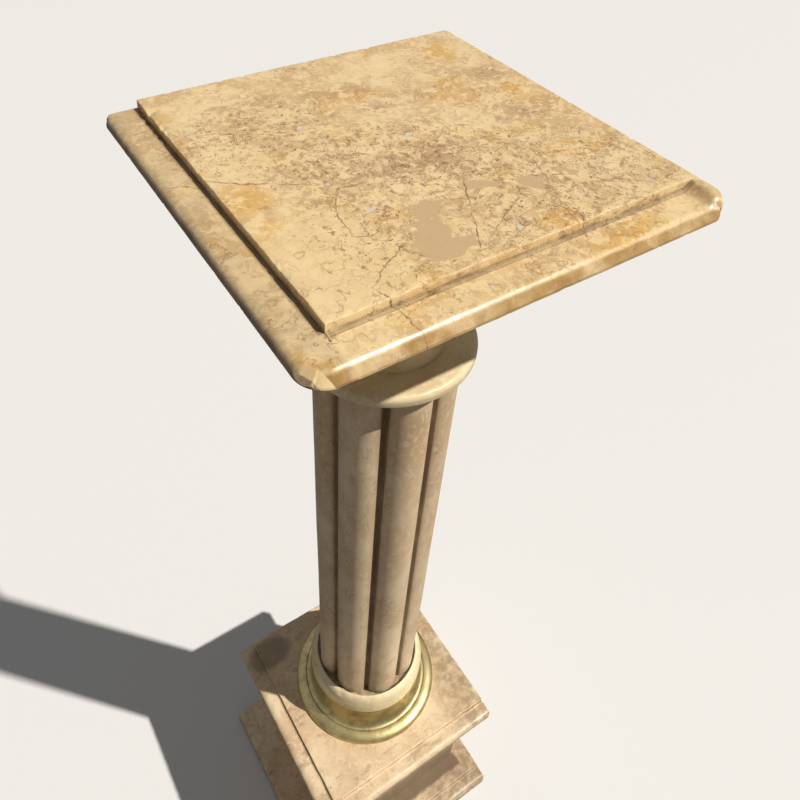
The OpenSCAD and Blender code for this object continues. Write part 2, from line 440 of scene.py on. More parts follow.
def golden_marble():
    """Polished golden limestone of the top plate."""
    finish = bpy.context.scene.pedestal_finish
    material, graph = new_material("golden_marble")
    stone = Marble(graph)
    x, y, _ = graph.parts(stone.ragged)
    speckled = patch_mask(x, y, SPECKLED_ZONES, 0.7)
    torn_x, torn_y, _ = graph.parts(graph.warped(stone.ragged, 13, 17, 3))
    tan = patch_mask(torn_x, torn_y, TAN_PATCHES, 0.07)
    brown = patch_mask(x, y, BROWN_ZONES, 0.8)
    cloud = stone.soft(52, 40, 2).ramp(0.36, 0.66)

    base = graph.mix(cloud * 0.62, finish.cream, finish.honey)
    base = stone.mottle(base, finish.honey, 20, 0.46, 0.60, 0.70)
    base = stone.mottle(base, finish.tan, 9, 0.52, 0.62, 0.50)
    base = graph.mix(stone.soft(34, 310).ramp(0.52, 0.70) * 0.45, base, finish.gold)
    base = graph.mix(patch_mask(x, y, GOLD_PATCHES, 0.9) * 0.78, base, finish.gold)
    base = graph.mix(brown * 0.50, base, finish.rose)
    base = stone.mottle(base, finish.rose, 5, 0.50, 0.58, speckled * 0.62 + 0.12)
    base = stone.mottle(base, finish.vein, 22, 0.56, 0.66, speckled * 0.28)
    base = stone.mottle(base, finish.cream, 12, 0.52, 0.59, 0.80)
    base = stone.mottle(base, finish.cream, 4.2, 0.53, 0.62, 0.75)
    base = graph.mix(patch_mask(x, y, CREAM_PATCHES, 0.35) * 0.65, base, finish.cream)
    base = graph.mix(tan * 0.96, base, finish.tan)

    ring, crystal = stone.shells()
    lines = stone.veins(34, 0.010, 120, 0.46) * 0.55
    lines = lines.most(stone.veins(11, 0.022, 300, 0.42) * (speckled * 0.45 + 0.22))
    lines = lines.most(stone.specks(speckled) * 0.80).most(ring * 0.40)
    lines = lines * (1 - tan * 0.88)
    near_x, near_y, _ = graph.parts(graph.warped(graph.warped(stone.place, 12, 5), 3, 2.4))
    cracks = functools.reduce(
        Value.least, [crack_distance(near_x, near_y, route) for route in TOP_CRACKS])
    gaps = graph.noise(stone.place, 6, 1).ramp(0.34, 0.60)
    lines = lines.most(cracks.ramp(0.75, 0.10) * (gaps * 0.60 + 0.25))

    base = graph.mix(lines, base, finish.vein)
    base = graph.mix(crystal * (speckled * 0.8), base, finish.spar)
    base, film = top_plate_dirt_and_shade(graph, stone.place, base)
    roughness = lines * 0.2 + cloud * 0.10 + film + 0.24
    base, roughness = weathered_and_shaded(graph, base, roughness)
    finish_material(graph, base, roughness, graph.noise(stone.place, 4, 2), 0.00005)
    return material


def pale_marble(name, stretch, rich, offset, light, stains_and_shade=None):
    """Paler marble of the shaft, the turned pieces and the plinth.

    The optional last function gives how far a place is darkened, by grime and painted shade, from 0
    to 1."""
    finish = bpy.context.scene.pedestal_finish
    material, graph = new_material(name)
    stone = Marble(graph, stretch, offset)
    cloud = stone.soft(60, 40, 2).ramp(0.36, 0.66)
    zone = stone.soft(45, 200).ramp(0.45, 0.65)
    base = graph.mix(cloud * (0.25 + 0.6 * rich), light, finish.blush)
    base = stone.mottle(base, finish.blush, 14, 0.46, 0.62, 0.6 * rich)
    base = graph.mix(stone.soft(38, 310).ramp(0.55, 0.72) * (0.5 * rich), base, finish.honey)
    base = stone.mottle(base, finish.rose, 6, 0.56, 0.70, zone * (0.35 * rich))
    base = stone.mottle(base, light, 4.5, 0.52, 0.64, 0.7)
    ring, _ = stone.shells()
    lines = stone.veins(38, 0.008, 120, 0.50) * 0.5
    lines = lines.most(stone.specks(zone) * 0.5).most(ring * 0.3) * rich
    base = graph.mix(lines, base, finish.vein)
    # darkening from the given function: grime and painted shade
    if stains_and_shade:
        base = graph.mix(stains_and_shade(graph, graph.millimetres()), base, finish.grime_and_shade)
    roughness = lines * 0.2 + cloud * 0.12 + 0.32
    base, roughness = weathered_and_shaded(graph, base, roughness)
    finish_material(graph, base, roughness, graph.noise(stone.place, 4, 2), 0.00006)
    return material


def valley_shade(graph, place):
    """Painted shade down the valleys between the reeds, patchy in strength."""
    x, y, _ = graph.parts(place)
    patchy = graph.noise(graph.vector("MULTIPLY", place, (1.0, 1.0, 0.25)), 14, 3)
    # painted shade: darker the deeper a place lies in a valley
    deep = (x * x + y * y).root().ramp(56.5, 51.5)
    return deep * (patchy.ramp(0.25, 0.65) * 0.35 + 0.35)


def socket_dirt_and_shade(graph, place):
    """Grime and painted shade round the edge of the ring's socket, at the shaft's foot, and streaks
    of dirt over the shoulder.
    """
    x, y, _ = graph.parts(place)
    streaks = graph.noise(place, 9, 4, 0.66)
    # grime and painted shade round the socket's edge, where the shaft stands in it
    socket = (x * x + y * y).root().ramp(63.4, 62.0) * (streaks.ramp(0.30, 0.60) * 0.35 + 0.45)
    return socket.most(streaks.ramp(0.56, 0.70) * 0.28)


def plinth_dirt_and_shade(graph, place):
    """Blotchy dirt and painted shade on the slabs' +X parts, painted shade round the foot of the
    block's -Y face, one painted shadow on the plinth slab, and streaks of dirt.
    """
    x, y, level = graph.parts(graph.warped(place, 9, 8, 3))
    blotches = graph.noise(place, 11, 4, 0.65)
    # blotchy dirt and painted shade on the +X parts
    side = x.ramp(44, 92) * (blotches.ramp(0.34, 0.64) * 0.38 + 0.16)
    # painted shadow: a dark oval on the plinth slab's -X +Y part
    painted_shadow = patch_mask(x, y, PLINTH_SHADOW_PATCHES, 0.5) * 0.62
    on_slab = level.ramp(262, 266)
    streaks = graph.noise(graph.vector("MULTIPLY", place, (0.5, 1.0, 1.0)), 16, 5, 0.70)
    dirt_and_shade = (side.most(painted_shadow) * on_slab).most(streaks.ramp(0.53, 0.66) * 0.34)

    _, flat_y, height = graph.parts(place)
    on_foot = height.ramp(22, 21)
    # blotchy dirt and painted shade on the foot slab's +X part
    foot = x.ramp(16, 60) * (blotches.ramp(0.32, 0.62) * 0.38 + 0.22)
    # painted shade in the angle between the block's -Y face and the foot slab
    angle = y.ramp(-122, -115) * y.ramp(-94, -98) * x.ramp(-116, -106) * x.ramp(114, 107)
    # painted shade with some dirt on the lower part of the block's -Y face
    face = flat_y.ramp(-98, -100) * height.ramp(21, 23) * level.ramp(130, 70)
    low = (foot.most(angle * 0.86) * on_foot).most(face * (blotches * 0.3 + 0.62))
    return dirt_and_shade.most(low)


def aged_brass():
    """Satin cast brass, dulled in patches and finely scratched."""
    finish = bpy.context.scene.pedestal_finish
    material, graph = new_material("aged_brass")
    place = graph.millimetres()
    patina = graph.noise(graph.warped(place, 18, 12), 20, 5, 0.66)
    dull = patina.ramp(0.32, 0.70)
    base = graph.mix(dull * 0.75, finish.brass, finish.tarnish)
    turning = graph.noise(graph.vector("MULTIPLY", place, (0.05, 0.05, 4.0)), 1.5, 3)
    roughness = dull * 0.14 + turning * 0.08 + 0.36
    base, roughness = weathered_and_shaded(graph, base, roughness, 0.8)
    finish_material(graph, base, roughness, turning * 0.4 + graph.noise(place, 2.0, 2), 0.00010,
                    metallic=1.0)
    return material


# ---------------------------------------------------------------- meshes


def piece(name, points, faces, material):
    """A mesh object at the origin, from points in millimetres, with its sharp edges marked."""
    mesh = bpy.data.meshes.new(name)
    mesh.from_pydata((np.asarray(points) * MM).tolist(), [], faces)
    return dress(mesh, name, material)


def dress(mesh, name, material):
    """Cleans a closed mesh, turns its faces outwards and makes it an object."""
    work = bmesh.new()
    work.from_mesh(mesh)
    bmesh.ops.remove_doubles(work, verts=work.verts, dist=0.01 * MM)
    bmesh.ops.recalc_face_normals(work, faces=work.faces)
    for edge in work.edges:
        open_edge = len(edge.link_faces) != 2
        edge.smooth = open_edge or edge.calc_face_angle() < SHARP_ANGLE
    for face in work.faces:
        face.smooth = True
    work.to_mesh(mesh)
    work.free()
    mark_hollows(mesh)
    mesh.materials.clear()
    mesh.materials.append(material)
    thing = bpy.data.objects.new(name, mesh)
    bpy.context.scene.collection.objects.link(thing)
    return thing


def mark_hollows(mesh):
    """Stores how hollow (above 0) or sharp (below 0) the surface is at each point."""
    count, edges = len(mesh.vertices), np.empty(len(mesh.edges) * 2, int)
    mesh.edges.foreach_get("vertices", edges)
    first, second = edges.reshape(-1, 2).T
    points, normals = np.empty(count * 3), np.empty(count * 3)
    mesh.vertices.foreach_get("co", points)
    mesh.vertices.foreach_get("normal", normals)
    points, normals = points.reshape(-1, 3) / MM, normals.reshape(-1, 3)
    step = points[second] - points[first]
    square = np.maximum((step ** 2).sum(1), 0.04)
    bend = (np.bincount(first, (step * normals[first]).sum(1) / square, count)
            - np.bincount(second, (step * normals[second]).sum(1) / square, count))
    degree = np.bincount(first, minlength=count) + np.bincount(second, minlength=count)
    bend = np.clip(2 * bend / degree, -1, 1)
    for _ in range(3):
        around = np.bincount(first, bend[second], count) + np.bincount(second, bend[first], count)
        bend = 0.4 * bend + 0.6 * around / degree
    mesh.attributes.new("hollow", "FLOAT", "POINT").data.foreach_set("value", bend)


def place_piece(thing, node):
    """Parents a piece to the root body and hides the CAD node that it stands for."""
    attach(thing, "root")
    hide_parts(node)


def box_mm(node):
    low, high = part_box(node)
    return np.array(low) / MM, np.array(high) / MM


def between_rings(low, high):
    """Quads that join two closed rings of as many points."""
    return [(a, b, c, d) for a, b, c, d in zip(low, low[1:] + low[:1], high[1:] + high[:1], high)]


def arc(cx, cy, rx, ry, start, end, steps=12):
    """Points on an ellipse between two angles in degrees, both ends included."""
    angles = np.radians(np.linspace(start, end, steps + 1))
    return [(cx + rx * math.cos(a), cy + ry * math.sin(a)) for a in angles]


def waves(seed, size, *axes):
    """Smooth noise from -1 to 1 on arrays of places, about size across, the same each run."""
    draw = np.random.default_rng(seed)
    total = 0.0
    count = 7
    for _ in range(count):
        direction = draw.normal(size=len(axes))
        direction /= np.linalg.norm(direction)
        pitch = size * draw.uniform(0.7, 2.2)
        along = sum(d * a for d, a in zip(direction, axes))
        total = total + np.sin(2 * math.pi * (along / pitch + draw.uniform()))
    return total / count * 1.6


def scattered_chips(seed, count, span, size):
    """Random chips along an edge: place along it, half length, and depth, in millimetres."""
    draw = np.random.default_rng(seed)
    chips = []
    for _ in range(count):
        half = size * draw.uniform(0.4, 1.6)
        chips.append((draw.uniform(4, span - 4), half, half * draw.uniform(0.25, 0.5)))
    return chips


def chip_depth(along, across, chips, reach=1.0):
    """How deep the chips bite at places along an edge and across from it."""
    depth = np.zeros(np.broadcast(along, across).shape)
    for place, half, bite in chips:
        spread = ((along - place) / half) ** 2 + (across / (reach * bite + 0.6)) ** 2
        depth = np.maximum(depth, bite * np.sqrt(np.clip(1 - spread, 0, None)))
    return depth


class Edge:
    """A moulded edge: a nose, a flat shelf, a small fillet and a step up to the field.

    The nose is a quarter round, or a softened bevel where a slope is given."""

    fillet_width = 2.6
    batter = 0.3
    arris = 1.0
    bevel_softness = 1.1

    def __init__(self, thickness, width, step, under, nose, drop=None, slope=None, fillet=0.0):
        self.thickness = thickness
        self.width = width
        self.shelf = thickness - step
        self.under = under
        self.nose = nose
        self.slope = slope
        self.drop = drop
        self.fillet = fillet

    def lines(self):
        """Distances in from the edge that catch every turn of the profile."""
        turn = np.radians(np.linspace(0, 90, 15))
        top = self.width
        return np.concatenate([
            self.nose * (1 - np.cos(turn)),
            np.arange(self.nose + 1.3, top - self.fillet_width - 1.6, 1.5),
            np.arange(top - self.fillet_width - 1.2, top - 0.3, 0.4),
            top + np.array([-0.15, 0.0, 0.1, 0.2, 0.3, 0.45, 0.7, 1.0, 1.35, 1.7, 2.2, 2.8])])

    def nose_drop(self, inward):
        """How far the nose has dropped below the shelf at a distance in from the edge."""
        away = np.clip(self.nose - inward, 0, None)
        if self.slope:
            soft = self.bevel_softness
            return self.slope * (np.sqrt(away ** 2 + soft ** 2) - soft)
        return self.drop * (1 - np.sqrt(1 - (np.minimum(away / self.nose, 1)) ** 2))

    def stepped(self, inward):
        """Height of the profile at a distance in from the edge."""
        height = self.shelf - self.nose_drop(inward)
        onto_fillet = np.clip((inward - self.width + self.fillet_width) / 0.5, 0, 1)
        height = height + self.fillet * onto_fillet
        rise = np.clip((inward - self.width) / self.batter, 0, 1)
        crown = self.thickness - self.shelf - self.fillet - self.arris * 0.6
        over = np.clip((inward - self.width - self.batter * 0.6) / (self.arris * 1.6), 0, 1)
        eased = self.arris * 0.6 * np.sqrt(1 - (1 - over) ** 2)
        return height + rise * crown + eased

    def plain(self, inward):
        """The profile where the step has died out: one roll up to the field."""
        roll = self.width * 0.75
        nose = np.clip(1 - inward / roll, 0, 1)
        start = self.shelf - self.nose_drop(0.0)
        return self.thickness - (self.thickness - start) * (1 - np.sqrt(1 - nose ** 2))


def flush_edge(inward, thickness, ease):
    """Top surface at a side that is cut flush, with its arris just taken off."""
    over = np.clip(1 - inward / ease, 0, 1)
    return thickness - ease * (1 - np.sqrt(1 - over ** 2))


def rounded_corners(x, y, size_x, size_y, radii):
    """Rounds a slab's four corners in plan; radii run from -X -Y round to -X +Y."""
    x, y = x.copy(), y.copy()
    corners = [(0, 0), (size_x, 0), (size_x, size_y), (0, size_y)]
    for (cx, cy), radius in zip(corners, radii):
        sx, sy = (1 if cx == 0 else -1), (1 if cy == 0 else -1)
        px = radius - sx * (x - cx)
        py = radius - sy * (y - cy)
        near = (px > 0) & (py > 0)
        far = np.hypot(px, py)
        shrink = np.where(near, np.maximum(px, py) / np.where(far > 0, far, 1), 1)
        x = np.where(near, cx + sx * (radius - px * shrink), x)
        y = np.where(near, cy + sy * (radius - py * shrink), y)
    return x, y


def field_lines(first, size, coarse, ease):
    """Fills out the lines across a slab from the end of its moulding to the flush side."""
    last = size - 3 * ease
    count = max(2, int((last - first[-1]) / coarse))
    middle = np.linspace(first[-1], last, count + 1)[1:]
    tail = size - 3 * ease * (1 - np.sin(np.radians(np.linspace(0, 90, 9))))[1:]
    return np.concatenate([first, middle, tail])


def slab(name, node, material, edge_x, edge_y, radii, wear, chips, coarse=1.7, ease=0.9,
         run_out=0.0, carve=None, wall_rings=4):
    """A square stone slab that fills a CAD node's box, moulded on -X and -Y.

    chips maps a side (-x, -y, +x, +y, and arris-x, arris-y for the raised field's edges)
    to its list of chips. carve may lower the top further: carve(x, y, height)."""
    low, high = box_mm(node)
    size_x, size_y, thick = high - low
    plain_start = np.concatenate([[0], ease * np.linspace(0.1, 3, 9)])
    lines_x = field_lines(edge_x.lines() if edge_x else plain_start, size_x, coarse, ease)
    lines_y = field_lines(edge_y.lines() if edge_y else plain_start, size_y, coarse, ease)
    x, y = np.meshgrid(lines_x, lines_y, indexing="ij")

    def moulded(edge, inward, along, arris, seed, kept=1.0):
        """Height over a show side: a slightly wandering profile with chips off its arris.

        The step dies out where kept falls to 0."""
        if not edge:
            return flush_edge(inward, thick, ease)
        wander = wear * waves(seed, 26, along) + 0.4 * wear * waves(seed + 1, 5, along, inward)
        worn = inward + wander * np.clip(inward / 4, 0, 1)
        bite = chip_depth(along, inward - edge.width - 1, chips.get(arris, []), 2.2)
        return edge.plain(worn) * (1 - kept) + (edge.stepped(worn) - bite) * kept

    def plan(x, y, low=0.25):
        """Where a point of the square plan really lies, with notches and worn corners."""
        def moved(place, size, along, axis, seed):
            near = low * chip_depth(along, 0 * along, chips.get("-" + axis, []))
            near = near + wear * np.clip(0.7 + waves(seed, 22, along), 0, None) * 0.4
            far = chip_depth(along, 0 * along, chips.get("wall+" + axis, []))
            return place + near * np.exp(-place / 4) - far * np.exp(-(size - place) / 4)

        return rounded_corners(moved(x, size_x, y, "x", 41), moved(y, size_y, x, "y", 42),
                               size_x, size_y, radii)

    off_x, off_y = size_x - x, size_y - y
    kept = np.clip((off_x - 0.4 * run_out) / run_out, 0, 1) if run_out else 1.0
    kept = kept * kept * (3 - 2 * kept)
    top = np.minimum(moulded(edge_x, x, y, "arris-x", 11),
                     moulded(edge_y, y, x, "arris-y", 21, kept))
    for away, along, side in ((off_x, y, "+x"), (off_y, x, "+y")):
        inward = np.clip(away + 0.5 * wear * waves(31, 9, along), 0, None)
        rough = flush_edge(inward, thick, ease)
        top = np.minimum(top, rough - chip_depth(along, away, chips.get(side, []), 2.5))
    plan_x, plan_y = plan(x, y)
    if carve:
        top = carve(plan_x, plan_y, top)
    top = np.clip(top, edge_x.under + 0.4 if edge_x else 1.5, thick)
    points = [np.stack([plan_x, plan_y, top], -1).reshape(-1, 3)]
    nx, ny = len(lines_x), len(lines_y)
    faces = [(i * ny + j, (i + 1) * ny + j, (i + 1) * ny + j + 1, i * ny + j + 1)
             for i in range(nx - 1) for j in range(ny - 1)]

    rim = ([i * ny for i in range(nx)] + [(nx - 1) * ny + j for j in range(1, ny)]
           + [i * ny + ny - 1 for i in range(nx - 2, -1, -1)] + [j for j in range(ny - 2, 0, -1)])
    rim_x, rim_y = x.reshape(-1)[rim], y.reshape(-1)[rim]
    rim_top = top.reshape(-1)[rim]
    under = edge_x.under if edge_x else ease
    rings = [(0.0, rim_top + (under - rim_top) * (k + 1) / wall_rings, (k + 1) / wall_rings)
             for k in range(wall_rings)]
    rings += [(under * (1 - math.cos(a)), under * (1 - math.sin(a)) + 0 * rim_top, 1)
              for a in np.radians([30, 60, 90])]
    last, total = rim, len(points[0])
    for inset, height, low_share in rings:
        ring_x = inset + rim_x * (size_x - 2 * inset) / size_x
        ring_y = inset + rim_y * (size_y - 2 * inset) / size_y
        ring_plan = plan(ring_x, ring_y, max(low_share, 0.25))
        points.append(np.stack([*ring_plan, height], -1))
        ring = list(range(total, total + len(rim)))
        total += len(rim)
        faces += between_rings(last, ring)
        last = ring
    faces.append(tuple(last))
    return piece(name, np.concatenate(points) + low, faces, material)


def turned(name, outline, material, segments=160, chips=(), wear=0.1, seed=5):
    """A turned piece: an outline of (radius, height) points in millimetres spun round Z.

    The outline starts and ends on the axis. Each chip is (angle, height, half size, depth)."""
    outline = np.array(outline, float)
    around = np.linspace(0, 2 * math.pi, segments, endpoint=False)
    radius, turn = np.meshgrid(outline[1:-1, 0], around, indexing="ij")
    height = np.repeat(outline[1:-1, 1][:, None], segments, 1)
    bite = np.zeros_like(radius)
    for angle, level, half, depth in chips:
        gap = (turn - math.radians(angle) + math.pi) % (2 * math.pi) - math.pi
        spread = (gap * radius / half) ** 2 + ((height - level) / half) ** 2
        bite = np.maximum(bite, depth * np.sqrt(np.clip(1 - spread, 0, None)))
    uneven = wear * waves(seed, 0.9, np.cos(turn), np.sin(turn), height / 40)
    radius = radius - bite - np.clip(uneven + wear, 0, None) * 0.5
    points = np.stack([radius * np.cos(turn), radius * np.sin(turn), height], -1).reshape(-1, 3)
    poles = [(0, 0, outline[0, 1]), (0, 0, outline[-1, 1])]
    points = np.concatenate([points, poles])
    rings = np.arange(radius.size).reshape(radius.shape).tolist()
    faces = [quad for low, high in zip(rings, rings[1:]) for quad in between_rings(low, high)]
    first, last = rings[0], rings[-1]
    faces += [(radius.size, b, a) for a, b in zip(first, first[1:] + first[:1])]
    faces += [(radius.size + 1, a, b) for a, b in zip(last, last[1:] + last[:1])]
    return piece(name, points, faces, material)


# ---------------------------------------------------------------- the reeded shaft


def reeded_shaft_tree(material, settings):
    """Geometry nodes: one reed as a sheet from axis to axis, repeated round the shaft.

    The names in settings become the tree's inputs."""
    tree = bpy.data.node_groups.new("reeded_shaft", "GeometryNodeTree")
    graph = Graph(tree)
    for name, setting in settings.items():
        kind = "NodeSocketInt" if isinstance(setting, int) else "NodeSocketFloat"
        tree.interface.new_socket(name, in_out="INPUT", socket_type=kind)
    tree.interface.new_socket("Geometry", in_out="OUTPUT", socket_type="NodeSocketGeometry")
    inputs = tree.nodes.new("NodeGroupInput")

    def given(name):
        return Value(tree, inputs.outputs[name])

    across_count, along_count = 45, 96
    sheet = graph.add("GeometryNodeMeshGrid", None, {
        "Size X": 1.0, "Size Y": 1.0, "Vertices X": across_count, "Vertices Y": along_count})
    across, along, _ = graph.parts(graph.add("GeometryNodeInputPosition"))

    half_pitch = math.pi / given("Reeds")
    valley = given("Radius") - given("Valley Depth")
    centre = ((given("Radius") ** 2 - valley ** 2)
              / ((given("Radius") - valley * half_pitch.cosine()) * 2))
    reed = given("Radius") - centre
    angle = (across * math.pi).sine() * half_pitch
    swing = centre * angle.sine()
    outer = centre * angle.cosine() + (reed * reed - swing * swing).root()
    quirk = given("Quirk Width") / 2
    to_valley = ((half_pitch - abs(angle)) * valley / quirk).least(1.0)
    outer = outer - quirk * (1 - to_valley * to_valley).root()

    row = (along + 0.5) * (along_count - 1)
    spread = row.least((along_count - 1) - row).clamped()
    share = ((row - 1) / (along_count - 3)).clamped()
    rise = 0.5 - (share * math.pi).cosine() * 0.5
    up = rise * given("Height")
    nearest_end = up.least(given("Height") - up)
    eased = (1 - (nearest_end / given("Easing")).least(1.0)).most(0.0)
    outer = outer - given("Easing") * (1 - (1 - eased * eased).root())
    radius = outer * spread
    bent = graph.joined(radius * angle.cosine(), radius * angle.sine(), up + given("Foot Level"))
    reed_sheet = graph.add("GeometryNodeSetPosition", None, {"Geometry": sheet, "Position": bent})

    spots = graph.add("GeometryNodePoints", None, {"Count": given("Reeds"), "Position": (0, 0, 0)})
    index = graph.add("GeometryNodeInputIndex")
    turn = graph.joined(0.0, 0.0, given("First Valley") + half_pitch * (index * 2 + 1))
    ring = graph.add("GeometryNodeInstanceOnPoints", None, {
        "Points": spots, "Instance": reed_sheet, "Rotation": turn})
    solid = graph.add("GeometryNodeRealizeInstances", None, {"Geometry": ring})
    solid = graph.add("GeometryNodeMergeByDistance", None, {"Geometry": solid, "Distance": 0.00002})

    # worked by hand: the reeds swell and sink a little along their length
    here = graph.add("GeometryNodeInputPosition")
    x, y, z = graph.parts(here)
    drift = graph.noise(graph.joined(x, y, z * 0.4), 0.035, 2)
    inwards = graph.vector("MULTIPLY", graph.joined(x, y, 0.0), (-16.0, -16.0, 0.0))
    push = graph.add("ShaderNodeVectorMath", {"operation": "SCALE"},
                     {0: inwards, "Scale": drift * given("Unevenness")})
    solid = graph.add("GeometryNodeSetPosition", None, {"Geometry": solid, "Offset": push})
    solid = graph.add("GeometryNodeSetMaterial", None, {"Geometry": solid, "Material": material})
    outputs = tree.nodes.new("NodeGroupOutput")
    tree.links.new(solid.socket, outputs.inputs[0])
    return tree


def reeded_shaft(name, node, material):
    turning = bpy.context.scene.pedestal_turning
    low, high = box_mm(node)
    settings = {
        "Radius": turning.reed_radius, "Valley Depth": turning.valley_depth,
        "Quirk Width": turning.quirk, "First Valley": turning.first_valley,
        "Foot Level": float(low[2]) * MM, "Height": float(high[2] - low[2]) * MM,
        "Easing": 1.6 * MM, "Unevenness": 0.9 * MM, "Reeds": turning.reeds}
    base = bpy.data.objects.new("shaft_seed", bpy.data.meshes.new("shaft_seed"))
    bpy.context.scene.collection.objects.link(base)
    modifier = base.modifiers.new("reeds", "NODES")
    modifier.node_group = reeded_shaft_tree(material, settings)
    for item in modifier.node_group.interface.items_tree:
        if item.in_out == "INPUT":
            modifier[item.identifier] = settings[item.name]
    depsgraph = bpy.context.evaluated_depsgraph_get()
    mesh = bpy.data.meshes.new_from_object(base.evaluated_get(depsgraph))
    bpy.data.objects.remove(base)
    mesh.name = name
    return dress(mesh, name, material)


# ---------------------------------------------------------------- operators


class PEDESTAL_OT_top_plate(bpy.types.Operator):
    """Builds the moulded top plate with its worn corner"""

    bl_idname = "pedestal.top_plate"
    bl_label = "Top plate"

    def execute(self, context):
        slabs = context.scene.pedestal_slabs
        low, high = box_mm("top_plate")
        thick = high[2] - low[2]
        step = slabs.plate_step / MM
        edge_x = Edge(thick, slabs.plate_mould_x / MM, step, under=0.8, nose=7.2, drop=5.7)
        edge_y = Edge(thick, slabs.plate_mould_y / MM, step, under=0.8, nose=7.9, slope=0.92,
                      fillet=0.4)
        reach, slope, run_out_from = slabs.flake / MM, 0.76, 14
        turn = math.radians(22)

        def flake(x, y, height):
            """The flake off the worn corner: it slopes to the nose and runs out along -X."""
            inward = x * math.cos(turn) + y * math.sin(turn)
            facet = thick - step + slope * (inward - reach) + 0.2 * waves(3, 5, x, y)
            return np.minimum(height, facet + 0.8 * np.clip(y - run_out_from, 0, None))

        chips = {
            "-y": [(20, 5, 1.3), (150, 3, 0.4)] + scattered_chips(7, 9, 250, 0.8),
            "-x": scattered_chips(8, 9, 270, 0.8),
            "arris-x": [(257, 3.5, 1.6), (235, 2.5, 1.2), (228, 1.6, 0.8)]
            + scattered_chips(9, 16, 250, 1.3),
            "arris-y": [(84, 3.2, 1.5), (64, 2, 0.9)] + scattered_chips(10, 16, 250, 1.1),
            "+x": scattered_chips(13, 12, 275, 1.3),
            "+y": scattered_chips(14, 12, 275, 1.3)}
        thing = slab("top_plate_stone", "top_plate", golden_marble(), edge_x, edge_y,
                     radii=(17, 12, 4, 5), wear=slabs.wear / MM, chips=chips,
                     run_out=slabs.run_out / MM, carve=flake)
        place_piece(thing, "top_plate")
        return {"FINISHED"}


class PEDESTAL_OT_capital(bpy.types.Operator):
    """Builds the turned neck and the thin disc under it"""

    bl_idname = "pedestal.capital"
    bl_label = "Neck and disc"

    def execute(self, context):
        turning = context.scene.pedestal_turning
        finish = context.scene.pedestal_finish
        marble = pale_marble("disc_marble", 1.0, 0.25, 0, finish.ivory)
        low, high = box_mm("capital_disc")
        radius, foot, top = high[0], low[2], high[2]
        roll = (top - foot) / 2
        outline = ([(0, foot), (radius - 12, foot), (radius - 1, foot)]
                   + arc(radius - 1, foot + 1, 1, 1, -90, 0, 3)
                   + arc(radius - roll, top - roll, roll, roll, 0, 90)
                   + [(radius - 14, top), (0, top)])
        chips = [(-68, top - 2, 3, 1.0), (-52, foot + 2, 2, 0.8), (-95, top - 1.5, 2, 0.7),
                 (30, top - 2, 4, 1.4), (140, foot + 1, 3, 1.1)]
        disc = turned("capital_disc_stone", outline, marble, chips=chips)
        place_piece(disc, "capital_disc")

        low, high = box_mm("neck")
        cap, foot, top = high[0], low[2], high[2]
        waist = turning.neck_radius / MM
        cap_foot = top - turning.cap_height / MM
        spread = cap - 8 - waist
        outline = ([(0, foot), (waist - 8, foot), (waist - 0.8, foot), (waist, foot + 0.8)]
                   + arc(waist + spread, foot, spread, cap_foot - 4 - foot, 178, 90, 26)
                   + [(cap - 8, cap_foot)]
                   + arc(cap - 2, cap_foot + 2, 2, 2, -90, 0, 4)
                   + arc(cap - 2, top - 2, 2, 2, 0, 90, 4)
                   + [(cap - 12, top), (0, top)])
        neck = turned("neck_stone", outline, marble, seed=8)
        place_piece(neck, "neck")
        return {"FINISHED"}


class PEDESTAL_OT_shaft(bpy.types.Operator):
    """Builds the reeded shaft"""

    bl_idname = "pedestal.shaft"
    bl_label = "Shaft"

    def execute(self, context):
        finish = context.scene.pedestal_finish
        marble = pale_marble("shaft_marble", 0.5, 0.7, 90, finish.pale, valley_shade)
        place_piece(reeded_shaft("shaft_stone", "shaft", marble), "shaft")
        return {"FINISHED"}


class PEDESTAL_OT_base_ring(bpy.types.Operator):
    """Builds the marble ring with the socket that holds the shaft"""

    bl_idname = "pedestal.base_ring"
    bl_label = "Base ring"

    def execute(self, context):
        turning = context.scene.pedestal_turning
        finish = context.scene.pedestal_finish
        low, high = box_mm("base_ring")
        radius, foot, top = high[0], low[2], high[2]
        tall = top - foot
        shoulder, shoulder_h = 9, 0.6 * tall
        tuck, tuck_h = radius - turning.collar_rim / MM, 0.16 * tall
        socket = turning.socket_radius / MM
        seat = top - turning.socket_depth / MM
        outline = ([(0, foot), (radius - tuck, foot)]
                   + arc(radius - tuck, foot + tuck_h, tuck, tuck_h, -80, 0)
                   + arc(radius - shoulder, top - shoulder_h, shoulder, shoulder_h, 4, 90, 18)
                   + arc(socket + 0.6, top - 0.6, 0.6, 0.6, 90, 180, 4)
                   + [(socket, seat), (0, seat)])
        marble = pale_marble("ring_marble", 1.0, 0.2, 170, finish.ivory, socket_dirt_and_shade)
        chips = [(-150, top - 3, 4, 0.9), (60, top - 4, 3, 0.8)]
        ring = turned("base_ring_stone", outline, marble, 180, chips=chips, seed=12)
        place_piece(ring, "base_ring")
        return {"FINISHED"}


